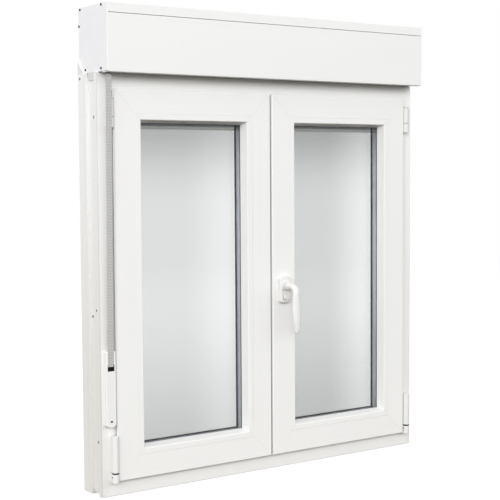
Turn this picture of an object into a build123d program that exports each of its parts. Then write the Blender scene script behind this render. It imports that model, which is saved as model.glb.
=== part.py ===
from build123d import *
from math import cos, radians, sin
import os

# White PVC window with two inward-opening leaves under a roller shutter box, worked by a strap.
# Millimetres. X runs along the window to the right seen from the room, Y runs out of doors, Z is up.
# While a piece is shaped, Y = 0 is the room face of the frame. place() then moves every piece so that
# the origin is the middle of the front foot, the lip of the sill that stands on the masonry.

# Overall sizes
WINDOW_W = 1000.0
WINDOW_H = 1185.0
BOX_H = 160.0
BOX_OVERHANG = 50.0
FRAME_DEPTH = 68.0
GUIDE_DEPTH = 27.0

# Fixed frame section
FRAME_FACE = 47.0
FLANGE_REACH = 20.0
FLANGE_T = 12.0
FLANGE_BEVEL = 7.0
FOOT_DEPTH = 13.0
REAR_LEG = 13.0
SIDE_RECESS = 6.0
CLIP_GROOVE_W = 7.0
CLIP_GROOVE_DEPTH = 4.0
FRAME_EDGE_R = 2.0

# Leaf section, glazing bead and glass unit
LEAF_REVEAL = 38.0
LEAF_PROUD = 15.0
LEAF_LIP = 8.0
LEAF_GAP = 5.0
SASH_FACE = 58.0
SASH_EDGE_R = 3.0
SASH_OUTER_BEVEL = 12.0
FITTING_CHAMBER = 12.0
SEAL_T = 3.0
SEAL_W = 6.0
BEAD_FACE = 15.0
BEAD_SPLAY = 7.0
BEAD_EDGE_R = 2.5
BEAD_SEAM_R = 1.2
GLASS_SET = 26.0
PANE_T = 4.0
PANE_GAP = 16.0
PANE_EDGE_GAP = 5.0
SPACER_W = 11.0
GLAZING_SEAL_T = 3.0
GLAZING_SEAL_W = 7.0
WELD_W = 1.0
WELD_DEPTH = 0.5
MITRE_GAP = 0.3

# Cover strip between the leaves
ASTRAGAL_LAP = 20.0
ASTRAGAL_WEB = 30.0
ASTRAGAL_EDGE_R = 2.0

# Shutter box
PANEL_T = 6.0
END_PLATE_T = 3.0
END_INSET = 4.0
LIP_H = 23.0
SEAM = 1.5
TONGUE_H = 10.0
TONGUE_T = 3.5
RETURN_W = 16.0
FRONT_DROP = 2.0
CHAMFER_H = 32.0
CHAMFER_Y = 30.0
PLATE_EDGE_R = 1.0

# Shutter guides and the slats that show under the box
GUIDE_W = 45.0
CHANNEL_W = 12.0
CHANNEL_DEPTH = 27.0
GUIDE_FRONT_WALL = 8.0
GUIDE_SCREW_R = 4.0
GUIDE_SCREW_DEPTH = 2.5
GUIDE_SCREW_Y = 17.0
GUIDE_SCREW_DROP = 11.5
SLAT_T = 11.0
SLAT_H = 52.0
SLAT_DROP = 12.0
SLAT_EDGE_R = 3.5
SLAT_END_GAP = 3.0
STOP_R = 8.0
STOP_TIP_R = 5.5
STOP_SIDE_GAP = 180.0
STOP_RISE = 17.0

# Strap and recoiler
STRAP_W = 14.0
STRAP_T = 1.2
STRAP_TOP_X = 19.1
STRAP_TOP_Y = 26.5
STRAP_SLOT_GAP = 0.6
STRAP_TAIL = 5.0
GROMMET_RIM = 3.0
GROMMET_PROUD = 2.0
RECOILER_X = 22.7
RECOILER_W = 27.2
RECOILER_H = 186.0
RECOILER_DEPTH = 12.0
RECOILER_FOOT_Z = 171.5
RECOILER_FOOT_BOW = 6.5
RECOILER_CORNER_R = 3.0
RECOILER_EDGE = 1.5
RECOILER_MOUTH_DROP = 32.5
RECOILER_MOUTH_W = 18.2
RECOILER_MOUTH_H = 15.5
RECOILER_MOUTH_DEPTH = 8.0
THROAT_DEPTH = 3.2

# Hinges
HINGE_X = 28.9
HINGE_R = 8.8
UPPER_PROUD = 6.5
LOWER_PROUD = 10.0
HINGE_NECK_W = 8.0
HINGE_EDGE = 0.8
LOWER_COVER_H = 89.5
LOWER_COVER_RISE = 24.0
LOWER_BRACKET_H = 22.0
HINGE_BREAK = 3.5
PIVOT_R = 3.0
UPPER_KNUCKLE_H = 42.0
UPPER_ARM_H = 25.0
UPPER_DROP = 25.0
UPPER_BREAK = 1.2

# Handle
HANDLE_X = 34.5
HANDLE_DROP = 26.0
ROSETTE_W = 34.0
ROSETTE_TOP = 25.5
ROSETTE_FOOT = 45.0
ROSETTE_T = 12.0
ROSETTE_CORNER_R = 9.0
ROSETTE_EDGE = 2.5
COLLAR_R = 12.0
COLLAR_T = 4.0
LOCK_DROP = 29.0
LOCK_R = 8.0
LOCK_T = 6.0
LOCK_EDGE = 1.0
LEVER_REACH = 57.0
LEVER_LENGTH = 121.0
LEVER_SPLAY = 4.0
LEVER_BEND_R = 16.0
LEVER_HUB_R = 11.0
LEVER_NECK_W = 21.0
LEVER_NECK_T = 15.0
LEVER_BELLY_W = 27.0
LEVER_BELLY_T = 14.0
LEVER_BELLY_SHARE = 0.45
LEVER_TIP_W = 9.0
LEVER_TIP_T = 6.0
LEVER_TIP_FULLNESS = 0.75
LEVER_SIDES = 32
LEVER_BEND_LEANS = (0, 15, 30, 45, 60, 75, 90)
LEVER_STATIONS = (0.1, 0.2, 0.32, 0.45, 0.58, 0.7, 0.8, 0.88, 0.94, 0.98, 1.0)

# Fixing holes in the jambs and drain caps on the sill
FIXING_R = 4.0
FIXING_Y = 26.0
FIXING_LOW = 132.0
FIXING_MIDDLE = 454.0
FIXING_TOP_DROP = 106.0
DRAIN_W = 40.0
DRAIN_H = 12.0
DRAIN_T = 4.0
DRAIN_EDGE = 2.0
DRAIN_INSET = 200.0
DRAIN_Z = 20.0

# Clearance of pieces that lie close without touching, and how far a cut runs past the face it opens
CLEAR = 0.3
CUT = 1.0

# Sizes that follow from those above
HALF_W = WINDOW_W / 2
FRAME_H = WINDOW_H - BOX_H
BACK_Y = FRAME_DEPTH + GUIDE_DEPTH
SEAT_Y = FRAME_DEPTH - FLANGE_T
LEAF_FRONT = -LEAF_PROUD
LEAF_BACK = SEAT_Y - SEAL_T
LIP_BACK = LEAF_FRONT + LEAF_LIP
SASH_SIDE = FRAME_FACE - LEAF_REVEAL + FITTING_CHAMBER
SIGHT = SASH_FACE + BEAD_FACE + BEAD_SPLAY
PANE_FRONT = LEAF_FRONT + GLASS_SET
UNIT_T = 2 * PANE_T + PANE_GAP
PANE_BACK = PANE_FRONT + UNIT_T
LEAF_INNER_X = LEAF_GAP / 2
LEAF_OUTER_X = HALF_W - LEAF_REVEAL
LEAF_Z0 = LEAF_REVEAL
LEAF_Z1 = FRAME_H - LEAF_REVEAL
BOX_FRONT = -BOX_OVERHANG
PANEL_END = HALF_W - END_INSET - END_PLATE_T
LIP_Z = WINDOW_H - LIP_H
CHANNEL_Y0 = FRAME_DEPTH + GUIDE_FRONT_WALL
CHANNEL_X = HALF_W - GUIDE_W + CHANNEL_DEPTH
STRAP_MID = STRAP_TOP_X - HALF_W

parts = {}


def place(piece):
    """Move a finished piece so that the origin is the middle of the front foot."""
    return Compound([Pos(0, -FOOT_DEPTH / 2, 0) * solid for solid in piece.solids()])


def outline(points, rounds=()):
    """Closed flat face through the points, with the named corners rounded."""
    face = make_face(Polyline(*points, close=True))
    for corner, radius in rounds:
        vertex = face.vertices().sort_by_distance((corner[0], corner[1], 0))[0]
        face = fillet(vertex, radius)
    return face


def block(x, y, z):
    """Box between two limits along each axis."""
    size = [high - low for low, high in (x, y, z)]
    middle = [(low + high) / 2 for low, high in (x, y, z)]
    return Pos(*middle) * Box(*size)


def side_planes(box, side):
    """Section plane and mitre plane on one side of a rectangle, with the length of that side."""
    x0, x1, z0, z1 = box
    xm = (x0 + x1) / 2
    zm = (z0 + z1) / 2
    if side == "sill":
        return Plane((xm, 0, z0), (0, 0, 1), (-1, 0, 0)), Plane((xm, 0, z0), (1, 0, 0), (0, -1, 0)), x1 - x0
    if side == "head":
        return Plane((xm, 0, z1), (0, 0, -1), (1, 0, 0)), Plane((xm, 0, z1), (-1, 0, 0), (0, -1, 0)), x1 - x0
    if side == "left":
        return Plane((x0, 0, zm), (1, 0, 0), (0, 0, 1)), Plane((x0, 0, zm), (0, 0, -1), (0, -1, 0)), z1 - z0
    return Plane((x1, 0, zm), (-1, 0, 0), (0, 0, -1)), Plane((x1, 0, zm), (0, 0, 1), (0, -1, 0)), z1 - z0


def mitre_face(length, low, high, short=0.0):
    """Trapezium that cuts a bar at 45 degrees at both ends, between two distances from its outer edge."""
    half = length / 2 - short
    return make_face(Polyline((-half + low, low), (half - low, low), (half - high, high), (-half + high, high),
                              close=True))


def mitred_bar(section, box, side, gap=0.0, weld_at=None):
    """Bar of one section along one side of a rectangle, mitred to its neighbours.

    The section lies in (distance inwards from the outer edge, depth). A weld groove runs along the
    mitre on the face at depth weld_at."""
    section_plane, mitre_plane, length = side_planes(box, side)
    limits = section.bounding_box()
    low = limits.min.X
    high = limits.max.X
    bar = extrude(section_plane * section, amount=length / 2, both=True)
    far = 2 * (abs(limits.min.Y) + abs(limits.max.Y))
    ends = extrude(mitre_plane * mitre_face(length, low, high, gap / 2), amount=far, both=True)
    bar = bar & ends
    if weld_at is not None:
        seam = mitre_face(length, low, high) - mitre_face(length, low, high, WELD_W)
        bar -= Pos(0, weld_at, 0) * extrude(mitre_plane * seam, amount=WELD_DEPTH, both=True)
    return bar


def flat_ring(box, outer, inner, y0, y1):
    """Rectangular ring between two distances inwards from the edge of a rectangle."""
    x0, x1, z0, z1 = box
    whole = block((x0 + outer, x1 - outer), (y0, y1), (z0 + outer, z1 - outer))
    return whole - block((x0 + inner, x1 - inner), (y0 - CUT, y1 + CUT), (z0 + inner, z1 - inner))


def both_sides(piece):
    """A piece on the left and its mirror image on the right."""
    return Compound([piece.solid(), mirror(piece, about=Plane.YZ).solid()])


# Fixed frame: four mitred lengths of one section, welded at the corners

FRAME_BOX = (-HALF_W, HALF_W, 0.0, FRAME_H)


def frame_section():
    """Room face, rebate, outer flange and an outer side recessed between the front foot and the rear leg."""
    tip = FRAME_FACE + FLANGE_REACH
    leg = FRAME_DEPTH - REAR_LEG
    groove = leg - CLIP_GROOVE_W
    deep = SIDE_RECESS + CLIP_GROOVE_DEPTH
    points = [(0, 0), (FRAME_FACE, 0), (FRAME_FACE, SEAT_Y), (tip, SEAT_Y), (tip, FRAME_DEPTH - FLANGE_BEVEL),
              (tip - FLANGE_BEVEL, FRAME_DEPTH), (0, FRAME_DEPTH), (0, leg), (deep, leg), (deep, groove),
              (SIDE_RECESS, groove), (SIDE_RECESS, FOOT_DEPTH), (0, FOOT_DEPTH)]
    return outline(points, [((0, 0), FRAME_EDGE_R), ((FRAME_FACE, 0), FRAME_EDGE_R)])


def fixing_holes(side):
    """Holes through a jamb for the frame anchors."""
    x = side * (HALF_W - FRAME_FACE / 2)
    holes = [Pos(x, FIXING_Y, z) * Rot(0, 90, 0) * Cylinder(FIXING_R, 2 * FRAME_FACE)
             for z in (FIXING_LOW, FIXING_MIDDLE, FRAME_H - FIXING_TOP_DROP)]
    return Part() + holes


FRAME = frame_section()
parts["frame_sill"] = mitred_bar(FRAME, FRAME_BOX, "sill", weld_at=0)
parts["frame_head"] = mitred_bar(FRAME, FRAME_BOX, "head", weld_at=0)
parts["frame_left_jamb"] = mitred_bar(FRAME, FRAME_BOX, "left", weld_at=0) - fixing_holes(-1)
parts["frame_right_jamb"] = mitred_bar(FRAME, FRAME_BOX, "right", weld_at=0) - fixing_holes(1)

flange_mid = FRAME_FACE + FLANGE_REACH / 2
parts["frame_seal"] = flat_ring(FRAME_BOX, flange_mid, flange_mid + SEAL_W, LEAF_BACK, SEAT_Y)

drain_x = HALF_W - DRAIN_INSET
drain = block((-drain_x - DRAIN_W / 2, -drain_x + DRAIN_W / 2), (FRAME_DEPTH, FRAME_DEPTH + DRAIN_T),
              (DRAIN_Z, DRAIN_Z + DRAIN_H))
drain = chamfer(drain.faces().sort_by(Axis.Y)[-1].edges(), DRAIN_EDGE)
parts["drain_caps"] = both_sides(drain)


# Leaves: mitred sash sections, clipped beads, glass units and seals

def sash_section():
    """Room face with the lip that laps the frame, glazing rebate and bevelled outer flange."""
    flange = PANE_BACK + GLAZING_SEAL_T
    points = [(0, LEAF_FRONT), (SASH_FACE, LEAF_FRONT), (SASH_FACE, flange), (SIGHT, flange),
              (SIGHT - SASH_OUTER_BEVEL, LEAF_BACK), (SASH_SIDE, LEAF_BACK), (SASH_SIDE, LIP_BACK), (0, LIP_BACK)]
    return outline(points, [((0, LEAF_FRONT), SASH_EDGE_R)])


def bead_section():
    """Bead that clips against the rebate and slopes in towards the glass."""
    front = SASH_FACE + BEAD_FACE
    foot = PANE_FRONT - GLAZING_SEAL_T
    points = [(SASH_FACE, LEAF_FRONT), (front, LEAF_FRONT), (SIGHT, foot), (SASH_FACE, foot)]
    return outline(points, [((front, LEAF_FRONT), BEAD_EDGE_R), ((SASH_FACE, LEAF_FRONT), BEAD_SEAM_R)])


SASH = sash_section()
BEAD = bead_section()
LEAVES = {"left": (-LEAF_OUTER_X, -LEAF_INNER_X, LEAF_Z0, LEAF_Z1),
          "right": (LEAF_INNER_X, LEAF_OUTER_X, LEAF_Z0, LEAF_Z1)}


def add_leaf(hand, box):
    """All the pieces of one leaf, named for the side of the window that it closes."""
    for side in ("left", "right", "head", "sill"):
        if side in ("left", "right"):
            name = "hinge_stile" if side == hand else "meeting_stile"
        else:
            name = "top_rail" if side == "head" else "bottom_rail"
        parts[f"{hand}_leaf_{name}"] = mitred_bar(SASH, box, side, weld_at=LEAF_FRONT)
    beads = [mitred_bar(BEAD, box, side, gap=MITRE_GAP) for side in ("left", "right", "head", "sill")]
    parts[f"{hand}_leaf_beads"] = Compound([bead.solid() for bead in beads])
    x0, x1, z0, z1 = box
    edge = SASH_FACE + PANE_EDGE_GAP
    pane = ((x0 + edge, x1 - edge), (z0 + edge, z1 - edge))
    inner = block(pane[0], (PANE_FRONT, PANE_FRONT + PANE_T), pane[1])
    outer = block(pane[0], (PANE_BACK - PANE_T, PANE_BACK), pane[1])
    parts[f"{hand}_leaf_panes"] = Compound([inner.solid(), outer.solid()])


for hand, box in LEAVES.items():
    add_leaf(hand, box)

spacer_edge = SASH_FACE + PANE_EDGE_GAP
spacers = [flat_ring(box, spacer_edge, spacer_edge + SPACER_W, PANE_FRONT + PANE_T, PANE_BACK - PANE_T)
           for box in LEAVES.values()]
parts["spacer_bars"] = Compound([spacer.solid() for spacer in spacers])

seal_edge = SIGHT - GLAZING_SEAL_W
glazing_seals = [flat_ring(box, seal_edge, SIGHT, y0, y0 + GLAZING_SEAL_T)
                 for box in LEAVES.values() for y0 in (PANE_FRONT - GLAZING_SEAL_T, PANE_BACK)]
parts["glazing_seals"] = Compound([seal.solid() for seal in glazing_seals])

lap = FRAME_FACE - LEAF_REVEAL
leaf_seals = [flat_ring(box, lap - SEAL_W, lap, LIP_BACK, 0) for box in LEAVES.values()]
parts["leaf_seals"] = Compound([seal.solid() for seal in leaf_seals])


def astragal():
    """Cover strip screwed to the meeting stile of the left leaf, with a flange over the right leaf's edge."""
    web_x0 = -LEAF_INNER_X - SASH_SIDE
    web_x1 = web_x0 + ASTRAGAL_WEB
    flange_x0 = web_x0 - ASTRAGAL_LAP
    flange_x1 = -web_x0 + ASTRAGAL_LAP
    flange_back = FRAME_DEPTH - ASTRAGAL_EDGE_R
    points = [(web_x0, 0), (web_x1, 0), (web_x1, SEAT_Y), (flange_x1, SEAT_Y), (flange_x1, flange_back),
              (flange_x0, flange_back), (flange_x0, LEAF_BACK), (web_x0, LEAF_BACK)]
    section = outline(points, [((x, flange_back), ASTRAGAL_EDGE_R) for x in (flange_x0, flange_x1)])
    z0 = FRAME_FACE + FLANGE_REACH + CLEAR
    z1 = FRAME_H - z0
    return extrude(Plane((0, 0, z0), (1, 0, 0), (0, 0, 1)) * section, amount=z1 - z0)


parts["astragal"] = astragal()


# Shutter box: extruded panels between two end plates

def box_panel(points, rounds=()):
    """Panel with its section in (Y, Z), as long as the room between the end plates."""
    section = outline(points, rounds)
    return extrude(Plane((0, 0, 0), (0, 1, 0), (1, 0, 0)) * section, amount=PANEL_END, both=True)


top_under = WINDOW_H - PANEL_T
rail_back = BOX_FRONT + PANEL_T
parts["box_front_rail"] = box_panel(
    [(BOX_FRONT, LIP_Z), (BOX_FRONT, WINDOW_H), (rail_back, WINDOW_H), (rail_back, LIP_Z)],
    [((BOX_FRONT, WINDOW_H), FRAME_EDGE_R)])
parts["box_top_panel"] = block((-PANEL_END, PANEL_END), (rail_back, BACK_Y), (top_under, WINDOW_H))

tongue_y = rail_back + CLEAR
front_back = tongue_y + TONGUE_T
return_y = BOX_FRONT + RETURN_W
front_foot = FRAME_H - FRONT_DROP
parts["box_front_panel"] = box_panel(
    [(BOX_FRONT, front_foot), (BOX_FRONT, LIP_Z - SEAM), (tongue_y, LIP_Z - SEAM), (tongue_y, LIP_Z + TONGUE_H),
     (front_back, LIP_Z + TONGUE_H), (front_back, FRAME_H + PANEL_T), (return_y, FRAME_H + PANEL_T),
     (return_y, front_foot)],
    [((BOX_FRONT, front_foot), FRAME_EDGE_R)])

parts["box_back_panel"] = block((-PANEL_END, PANEL_END), (BACK_Y - PANEL_T, BACK_Y),
                                (FRAME_H + CHAMFER_H, top_under))


def end_plate():
    """Left end plate with the lower back corner cut off over the guide inlet."""
    points = [(BOX_FRONT, FRAME_H), (BOX_FRONT, WINDOW_H), (BACK_Y, WINDOW_H), (BACK_Y, FRAME_H + CHAMFER_H),
              (BACK_Y - CHAMFER_Y, FRAME_H)]
    section = outline(points)
    plane = Plane((-PANEL_END, 0, 0), (0, 1, 0), (1, 0, 0))
    plate = extrude(plane * section, amount=-END_PLATE_T)
    return chamfer(plate.faces().sort_by(Axis.X)[0].edges(), PLATE_EDGE_R)


left_end = end_plate()
parts["box_left_end"] = left_end
parts["box_right_end"] = mirror(left_end, about=Plane.YZ)

grommet_x = STRAP_W / 2 + STRAP_SLOT_GAP + GROMMET_RIM
grommet_y = STRAP_T / 2 + STRAP_SLOT_GAP + GROMMET_RIM
strap_hole = block((STRAP_MID - grommet_x, STRAP_MID + grommet_x),
                   (-STRAP_TOP_Y - grommet_y, -STRAP_TOP_Y + grommet_y), (FRAME_H - CUT, FRAME_H + PANEL_T + CUT))
underside = block((-PANEL_END, PANEL_END), (return_y + CLEAR, BACK_Y - CHAMFER_Y), (FRAME_H, FRAME_H + PANEL_T))
parts["box_underside"] = underside - strap_hole


# Shutter guides, their inlets under the box and the slats at rest in the box's mouth

guide_mouth = -HALF_W + GUIDE_W
channel_y1 = CHANNEL_Y0 + CHANNEL_W
web = block((-HALF_W, -CHANNEL_X), (FRAME_DEPTH, BACK_Y), (0, FRAME_H))
web = fillet(web.edges().filter_by(Axis.Z).group_by(Axis.X)[0].sort_by(Axis.Y)[-1], FRAME_EDGE_R)
screw_seat = Pos(-HALF_W, FRAME_DEPTH + GUIDE_SCREW_Y, FRAME_H - GUIDE_SCREW_DROP) * Rot(0, 90, 0) * Cylinder(
    GUIDE_SCREW_R, 2 * GUIDE_SCREW_DEPTH)
web -= screw_seat
parts["left_guide_web"] = web
parts["right_guide_web"] = mirror(web, about=Plane.YZ)
flanges = [block((-CHANNEL_X, guide_mouth), limits, (0, FRAME_H))
           for limits in ((FRAME_DEPTH, CHANNEL_Y0), (channel_y1, BACK_Y))]
parts["left_guide_flanges"] = Compound([flange.solid() for flange in flanges])
parts["right_guide_flanges"] = Compound([mirror(flange, about=Plane.YZ).solid() for flange in flanges])

channel = block((-CHANNEL_X, guide_mouth + CUT), (CHANNEL_Y0, channel_y1), (FRAME_H - CUT, WINDOW_H))
inlet_top = FRAME_H + CHAMFER_H - CLEAR * 2
inlet_low = FRAME_H + CHAMFER_H * (CHAMFER_Y - GUIDE_DEPTH) / CHAMFER_Y - CLEAR * 2
inlet_face = outline([(FRAME_DEPTH, FRAME_H), (BACK_Y, FRAME_H), (BACK_Y, inlet_top), (FRAME_DEPTH, inlet_low)])
inlet = extrude(Plane((-HALF_W, 0, 0), (0, 1, 0), (1, 0, 0)) * inlet_face, amount=GUIDE_W) - channel
parts["guide_inlets"] = both_sides(inlet)

slat_y = CHANNEL_Y0 + (CHANNEL_W - SLAT_T) / 2
slat_x = CHANNEL_X - SLAT_END_GAP
slat_z = FRAME_H - SLAT_DROP


def slat(z0):
    """One hollow-section slat seen as a solid, with rounded long edges."""
    body = block((-slat_x, slat_x), (slat_y, slat_y + SLAT_T), (z0, z0 + SLAT_H))
    return fillet(body.edges().filter_by(Axis.X), SLAT_EDGE_R)


parts["shutter_slats"] = Compound([slat(slat_z).solid(), slat(slat_z + SLAT_H + CLEAR).solid()])

stop_y = slat_y + SLAT_T
stop = Pos(-HALF_W + STOP_SIDE_GAP, (stop_y + BACK_Y) / 2, slat_z + STOP_RISE) * Rot(90, 0, 0) * Cone(
    STOP_TIP_R, STOP_R, BACK_Y - stop_y)
parts["shutter_stops"] = both_sides(stop)


# Strap and recoiler on the left jamb

recoiler_mid = RECOILER_X - HALF_W
recoiler_top = RECOILER_FOOT_Z + RECOILER_H
throat_floor = THROAT_DEPTH - RECOILER_DEPTH
mouth_z1 = recoiler_top - RECOILER_MOUTH_DROP
mouth_z0 = mouth_z1 - RECOILER_MOUTH_H


def recoiler():
    """Housing with a bowed foot and a throat down its top that leads the strap to the mouth."""
    left = recoiler_mid - RECOILER_W / 2
    right = recoiler_mid + RECOILER_W / 2
    shoulder = RECOILER_FOOT_Z + RECOILER_FOOT_BOW
    edge = Polyline((left, shoulder), (left, recoiler_top), (right, recoiler_top), (right, shoulder))
    foot = ThreePointArc((right, shoulder), (recoiler_mid, RECOILER_FOOT_Z), (left, shoulder))
    face = make_face(edge + foot)
    face = fillet(face.vertices().group_by(Axis.Y)[-1], RECOILER_CORNER_R)
    body = extrude(Plane((0, 0, 0), (1, 0, 0), (0, -1, 0)) * face, amount=RECOILER_DEPTH)
    body = chamfer(body.faces().sort_by(Axis.Y)[0].edges(), RECOILER_EDGE)
    way = STRAP_W / 2 + STRAP_SLOT_GAP
    throat = block((recoiler_mid - way, recoiler_mid + way), (-RECOILER_DEPTH - CUT, throat_floor),
                   (mouth_z0, recoiler_top + CUT))
    mouth = block((recoiler_mid - RECOILER_MOUTH_W / 2, recoiler_mid + RECOILER_MOUTH_W / 2),
                  (-RECOILER_DEPTH - CUT, RECOILER_MOUTH_DEPTH - RECOILER_DEPTH), (mouth_z0, mouth_z1))
    return body - throat - mouth


parts["strap_recoiler"] = recoiler()


def strap():
    """Taut tape that leans from the box's front to the throat of the recoiler."""
    foot_y = throat_floor - STRAP_SLOT_GAP - STRAP_T / 2
    foot = Plane((recoiler_mid, foot_y, mouth_z1 - STRAP_TAIL)) * Rectangle(STRAP_W, STRAP_T)
    top = Plane((STRAP_MID, -STRAP_TOP_Y, FRAME_H + PANEL_T)) * Rectangle(STRAP_W, STRAP_T)
    return loft([foot.face(), top.face()], ruled=True)


parts["shutter_strap"] = strap()

sleeve = block((STRAP_MID - grommet_x + CLEAR, STRAP_MID + grommet_x - CLEAR),
               (-STRAP_TOP_Y - grommet_y + CLEAR, -STRAP_TOP_Y + grommet_y - CLEAR), (FRAME_H, FRAME_H + PANEL_T))
rim = block((STRAP_MID - grommet_x - GROMMET_RIM, STRAP_MID + grommet_x + GROMMET_RIM),
            (-STRAP_TOP_Y - grommet_y - GROMMET_RIM, -STRAP_TOP_Y + grommet_y + GROMMET_RIM),
            (FRAME_H - GROMMET_PROUD, FRAME_H))
strap_way = block((STRAP_MID - grommet_x + GROMMET_RIM, STRAP_MID + grommet_x - GROMMET_RIM),
                  (-STRAP_TOP_Y - STRAP_T / 2 - STRAP_SLOT_GAP, -STRAP_TOP_Y + STRAP_T / 2 + STRAP_SLOT_GAP),
                  (FRAME_H - GROMMET_PROUD - CUT, FRAME_H + PANEL_T + CUT))
parts["strap_guide"] = sleeve + rim - strap_way


# Hinges: a pivot bracket and a cover at each lower corner, two knuckles at each upper corner

hinge_mid = HINGE_X - HALF_W


def knuckle(z0, z1, proud):
    """Left-hand barrel, proud of the leaf's face, on a neck that stands on the frame's face."""
    centre = LEAF_FRONT - proud + HINGE_R
    half = HINGE_NECK_W / 2
    neck = outline([(hinge_mid - half, -CLEAR), (hinge_mid - half, centre), (hinge_mid + half, centre),
                    (hinge_mid + half, -CLEAR)])
    section = neck + Pos(hinge_mid, centre) * Circle(HINGE_R)
    barrel = extrude(Plane((0, 0, z0), (1, 0, 0), (0, 0, 1)) * section, amount=z1 - z0)
    ends = barrel.faces().filter_by(Axis.Z).edges().filter_by(GeomType.CIRCLE)
    return chamfer(ends, HINGE_EDGE)


bracket_z0 = LEAF_Z0 - (LOWER_BRACKET_H - LOWER_COVER_RISE + HINGE_BREAK)
bracket_z1 = bracket_z0 + LOWER_BRACKET_H
cover_z0 = bracket_z1 + HINGE_BREAK
bracket = knuckle(bracket_z0, bracket_z1, LOWER_PROUD)
pivot_y = LEAF_FRONT - LOWER_PROUD + HINGE_R
pivot = Pos(hinge_mid, pivot_y, bracket_z1 + HINGE_BREAK / 2 - CLEAR / 2) * Cylinder(PIVOT_R, HINGE_BREAK - CLEAR)
parts["lower_hinge_brackets"] = both_sides(bracket + pivot)
parts["lower_hinge_covers"] = both_sides(knuckle(cover_z0, cover_z0 + LOWER_COVER_H, LOWER_PROUD))

upper_top = LEAF_Z1 - UPPER_DROP
arm_top = upper_top - UPPER_KNUCKLE_H - UPPER_BREAK
parts["upper_hinge_knuckles"] = both_sides(knuckle(upper_top - UPPER_KNUCKLE_H, upper_top, UPPER_PROUD))
parts["upper_hinge_arms"] = both_sides(knuckle(arm_top - UPPER_ARM_H, arm_top, UPPER_PROUD))


# Handle on the meeting stile of the right leaf

handle_x = LEAF_INNER_X + HANDLE_X
handle_z = (LEAF_Z0 + LEAF_Z1) / 2 - HANDLE_DROP
rosette_front = LEAF_FRONT - ROSETTE_T
collar_front = rosette_front - COLLAR_T


def rosette():
    """Long plate with rounded corners and a collar round the spindle."""
    plate = block((handle_x - ROSETTE_W / 2, handle_x + ROSETTE_W / 2), (rosette_front, LEAF_FRONT),
                  (handle_z - ROSETTE_FOOT, handle_z + ROSETTE_TOP))
    plate = fillet(plate.edges().filter_by(Axis.Y), ROSETTE_CORNER_R)
    plate = chamfer(plate.faces().sort_by(Axis.Y)[0].edges(), ROSETTE_EDGE)
    collar_mid = (handle_x, (collar_front + rosette_front) / 2, handle_z)
    return plate + Pos(*collar_mid) * Rot(90, 0, 0) * Cylinder(COLLAR_R, COLLAR_T)


parts["handle_rosette"] = rosette()

lock = Pos(handle_x, rosette_front - LOCK_T / 2, handle_z - LOCK_DROP) * Rot(90, 0, 0) * Cylinder(LOCK_R, LOCK_T)
parts["handle_lock"] = chamfer(lock.faces().sort_by(Axis.Y)[0].edges(), LOCK_EDGE)


def lever_oval(y, drop, lean, width, thickness):
    """Many-sided oval section of the lever, from facing the room at a lean of 0 degrees to facing down at 90."""
    facing = (0, -cos(radians(lean)), -sin(radians(lean)))
    plane = Plane((handle_x, y, handle_z - drop), (1, 0, 0), facing)
    turns = [radians(360 * side / LEVER_SIDES) for side in range(LEVER_SIDES)]
    return (plane * outline([(width / 2 * cos(turn), thickness / 2 * sin(turn)) for turn in turns])).face()


def grip_size(share, neck, belly, tip):
    """Width or thickness of the grip at a share of its length: it swells to the belly, then rounds to the tip."""
    if share < LEVER_BELLY_SHARE:
        return belly - (belly - neck) * (1 - share / LEVER_BELLY_SHARE) ** 2
    past = (share - LEVER_BELLY_SHARE) / (1 - LEVER_BELLY_SHARE)
    return tip + (belly - tip) * (1 - past ** 2) ** LEVER_TIP_FULLNESS


def lever():
    """Cranked lever: a round hub at the collar, a bend, and a grip that swells and tapers to its tip."""
    grip_y = LEAF_FRONT - LEVER_REACH
    bend_y = grip_y + LEVER_BEND_R
    grip_length = LEVER_LENGTH - LEVER_BEND_R
    foot = lever_oval(collar_front - CLEAR, 0, 0, 2 * LEVER_HUB_R, 2 * LEVER_HUB_R)
    bend = [lever_oval(bend_y - LEVER_BEND_R * sin(radians(lean)), LEVER_BEND_R * (1 - cos(radians(lean))), lean,
                       LEVER_NECK_W, LEVER_NECK_T) for lean in LEVER_BEND_LEANS]
    grip = [lever_oval(grip_y - LEVER_SPLAY * share, LEVER_BEND_R + grip_length * share, 90,
                       grip_size(share, LEVER_NECK_W, LEVER_BELLY_W, LEVER_TIP_W),
                       grip_size(share, LEVER_NECK_T, LEVER_BELLY_T, LEVER_TIP_T)) for share in LEVER_STATIONS]
    return loft([foot] + bend + grip, ruled=True)


parts["handle_lever"] = lever()


os.makedirs("parts", exist_ok=True)
for name, piece in parts.items():
    export_step(place(piece), f"parts/{name}.step")
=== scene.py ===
import math

import bpy
from mathutils import Matrix, Vector


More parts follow.
